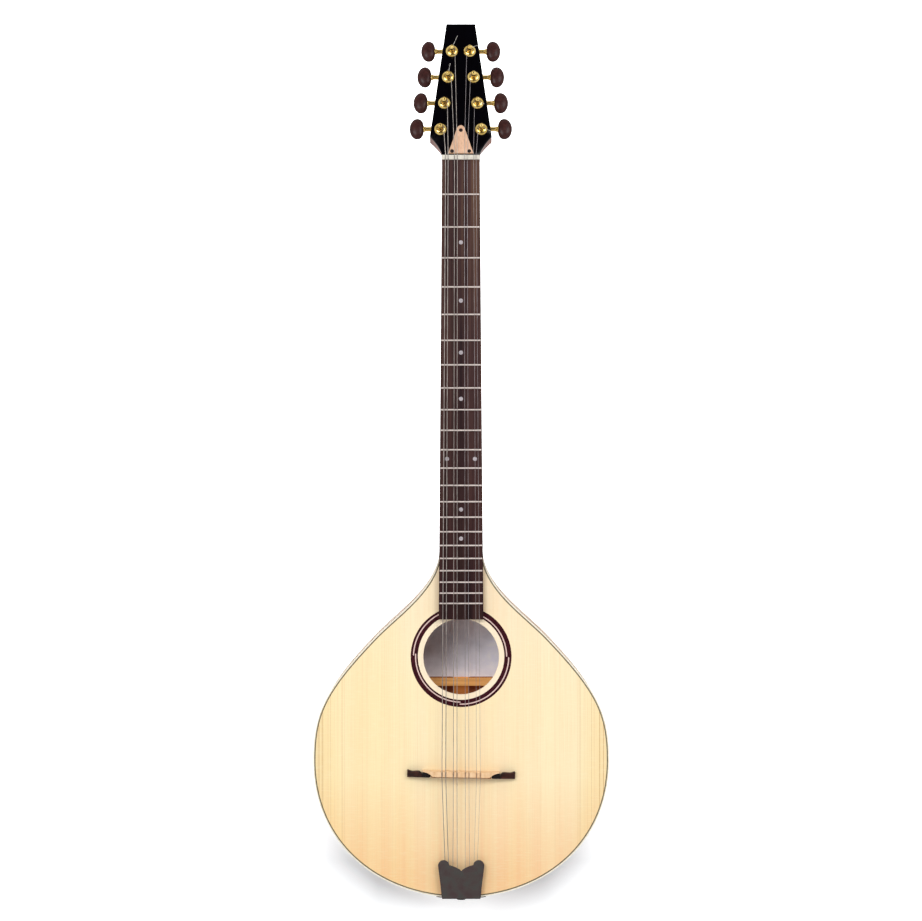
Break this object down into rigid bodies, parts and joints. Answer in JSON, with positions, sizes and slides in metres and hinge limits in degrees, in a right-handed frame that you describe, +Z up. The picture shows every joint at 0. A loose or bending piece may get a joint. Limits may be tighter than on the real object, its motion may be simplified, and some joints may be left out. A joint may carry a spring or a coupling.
{
  "type": "irish bouzouki",
  "caption": "Teardrop-bodied Irish bouzouki with paired courses, round soundhole, floating bridge, tailpiece and worm-geared tuning machines.",
  "frame": {"origin": "centre of the end pin's flat outer face, the lowest point of the upright instrument", "axes": "+Z up the neck towards the headstock, -Y out of the soundboard towards the player's audience, +X to the treble side"},
  "size_m": [0.313, 0.1023, 0.9363],
  "materials": {
    "black_lacquer": "gloss",
    "bone": "polished",
    "brace_spruce": "bare",
    "button_brown": "gloss",
    "dark_bronze": "dark patina",
    "ebony": "oiled",
    "gold_plate": "polished",
    "ivory_binding": "polished",
    "mahogany": "satin lacquer",
    "maple": "satin",
    "rosewood": "oiled",
    "spruce": "satin lacquer",
    "steel": "drawn wire"
  },
  "bodies": {
    "root": {"back_braces": "brace_spruce", "back_plate": "mahogany", "binding_back": "ivory_binding", "binding_front": "ivory_binding", "bridge": "ebony", "bridge_saddle": "maple", "end_pin": "ebony", "fretboard": "rosewood", "headstock_veneer": "black_lacquer", "neck": "mahogany", "neck_block": "mahogany", "nut": "bone", "rib_bass": "mahogany", "rib_treble": "mahogany", "soundboard": "spruce", "string_bass_1": "steel", "string_bass_2": "steel", "string_bass_3": "steel", "string_bass_4": "steel", "string_treble_1": "steel", "string_treble_2": "steel", "string_treble_3": "steel", "string_treble_4": "steel", "tail_block": "brace_spruce", "tailpiece": "dark_bronze", "top_brace": "brace_spruce", "truss_rod": "steel", "truss_rod_cover": "maple", "tuner_bass_1_housing": "gold_plate", "tuner_bass_2_housing": "gold_plate", "tuner_bass_3_housing": "gold_plate", "tuner_bass_4_housing": "gold_plate", "tuner_treble_1_housing": "gold_plate", "tuner_treble_2_housing": "gold_plate", "tuner_treble_3_housing": "gold_plate", "tuner_treble_4_housing": "gold_plate"},
    "bass_1_button_turn": {"tuner_bass_1_button": "button_brown", "tuner_bass_1_worm_shaft": "gold_plate"},
    "bass_1_post_turn": {"tuner_bass_1_post": "gold_plate"},
    "bass_2_button_turn": {"tuner_bass_2_button": "button_brown", "tuner_bass_2_worm_shaft": "gold_plate"},
    "bass_2_post_turn": {"tuner_bass_2_post": "gold_plate"},
    "bass_3_button_turn": {"tuner_bass_3_button": "button_brown", "tuner_bass_3_worm_shaft": "gold_plate"},
    "bass_3_post_turn": {"tuner_bass_3_post": "gold_plate"},
    "bass_4_button_turn": {"tuner_bass_4_button": "button_brown", "tuner_bass_4_worm_shaft": "gold_plate"},
    "bass_4_post_turn": {"tuner_bass_4_post": "gold_plate"},
    "treble_1_button_turn": {"tuner_treble_1_button": "button_brown", "tuner_treble_1_worm_shaft": "gold_plate"},
    "treble_1_post_turn": {"tuner_treble_1_post": "gold_plate"},
    "treble_2_button_turn": {"tuner_treble_2_button": "button_brown", "tuner_treble_2_worm_shaft": "gold_plate"},
    "treble_2_post_turn": {"tuner_treble_2_post": "gold_plate"},
    "treble_3_button_turn": {"tuner_treble_3_button": "button_brown", "tuner_treble_3_worm_shaft": "gold_plate"},
    "treble_3_post_turn": {"tuner_treble_3_post": "gold_plate"},
    "treble_4_button_turn": {"tuner_treble_4_button": "button_brown", "tuner_treble_4_worm_shaft": "gold_plate"},
    "treble_4_post_turn": {"tuner_treble_4_post": "gold_plate"}
  },
  "joints": [
    {"name": "bass_1_button_spin", "type": "hinge", "parent": "root", "child": "bass_1_button_turn", "pos_m": [-0.02154, -0.01893, 0.82361], "axis": [-1, 0, 0], "continuous": true},
    {"name": "bass_1_post_spin", "type": "hinge", "parent": "root", "child": "bass_1_post_turn", "pos_m": [-0.02154, -0.03959, 0.82037], "axis": [0, -0.9744, 0.225], "continuous": true},
    {"name": "bass_2_button_spin", "type": "hinge", "parent": "root", "child": "bass_2_button_turn", "pos_m": [-0.01752, -0.01236, 0.85206], "axis": [-1, 0, 0], "continuous": true},
    {"name": "bass_2_post_spin", "type": "hinge", "parent": "root", "child": "bass_2_post_turn", "pos_m": [-0.01752, -0.03302, 0.84882], "axis": [0, -0.9744, 0.225], "continuous": true},
    {"name": "bass_3_button_spin", "type": "hinge", "parent": "root", "child": "bass_3_button_turn", "pos_m": [-0.01349, -0.00579, 0.88051], "axis": [-1, 0, 0], "continuous": true},
    {"name": "bass_3_post_spin", "type": "hinge", "parent": "root", "child": "bass_3_post_turn", "pos_m": [-0.01349, -0.02645, 0.87727], "axis": [0, -0.9744, 0.225], "continuous": true},
    {"name": "bass_4_button_spin", "type": "hinge", "parent": "root", "child": "bass_4_button_turn", "pos_m": [-0.00946, 0.00077, 0.90896], "axis": [-1, 0, 0], "continuous": true},
    {"name": "bass_4_post_spin", "type": "hinge", "parent": "root", "child": "bass_4_post_turn", "pos_m": [-0.00946, -0.01988, 0.90572], "axis": [0, -0.9744, 0.225], "continuous": true},
    {"name": "treble_1_button_spin", "type": "hinge", "parent": "root", "child": "treble_1_button_turn", "pos_m": [0.02154, -0.01893, 0.82361], "axis": [1, 0, 0], "continuous": true},
    {"name": "treble_1_post_spin", "type": "hinge", "parent": "root", "child": "treble_1_post_turn", "pos_m": [0.02154, -0.03959, 0.82037], "axis": [0, -0.9744, 0.225], "continuous": true},
    {"name": "treble_2_button_spin", "type": "hinge", "parent": "root", "child": "treble_2_button_turn", "pos_m": [0.01752, -0.01236, 0.85206], "axis": [1, 0, 0], "continuous": true},
    {"name": "treble_2_post_spin", "type": "hinge", "parent": "root", "child": "treble_2_post_turn", "pos_m": [0.01752, -0.03302, 0.84882], "axis": [0, -0.9744, 0.225], "continuous": true},
    {"name": "treble_3_button_spin", "type": "hinge", "parent": "root", "child": "treble_3_button_turn", "pos_m": [0.01349, -0.00579, 0.88051], "axis": [1, 0, 0], "continuous": true},
    {"name": "treble_3_post_spin", "type": "hinge", "parent": "root", "child": "treble_3_post_turn", "pos_m": [0.01349, -0.02645, 0.87727], "axis": [0, -0.9744, 0.225], "continuous": true},
    {"name": "treble_4_button_spin", "type": "hinge", "parent": "root", "child": "treble_4_button_turn", "pos_m": [0.00946, 0.00077, 0.90896], "axis": [1, 0, 0], "continuous": true},
    {"name": "treble_4_post_spin", "type": "hinge", "parent": "root", "child": "treble_4_post_turn", "pos_m": [0.00946, -0.01988, 0.90572], "axis": [0, -0.9744, 0.225], "continuous": true}
  ],
  "couplings": [
    {"joint": "bass_1_post_spin", "follows": "bass_1_button_spin", "ratio": -0.071429},
    {"joint": "bass_2_post_spin", "follows": "bass_2_button_spin", "ratio": -0.071429},
    {"joint": "bass_3_post_spin", "follows": "bass_3_button_spin", "ratio": -0.071429},
    {"joint": "bass_4_post_spin", "follows": "bass_4_button_spin", "ratio": -0.071429},
    {"joint": "treble_1_post_spin", "follows": "treble_1_button_spin", "ratio": 0.071429},
    {"joint": "treble_2_post_spin", "follows": "treble_2_button_spin", "ratio": 0.071429},
    {"joint": "treble_3_post_spin", "follows": "treble_3_button_spin", "ratio": 0.071429},
    {"joint": "treble_4_post_spin", "follows": "treble_4_button_spin", "ratio": 0.071429}
  ]
}
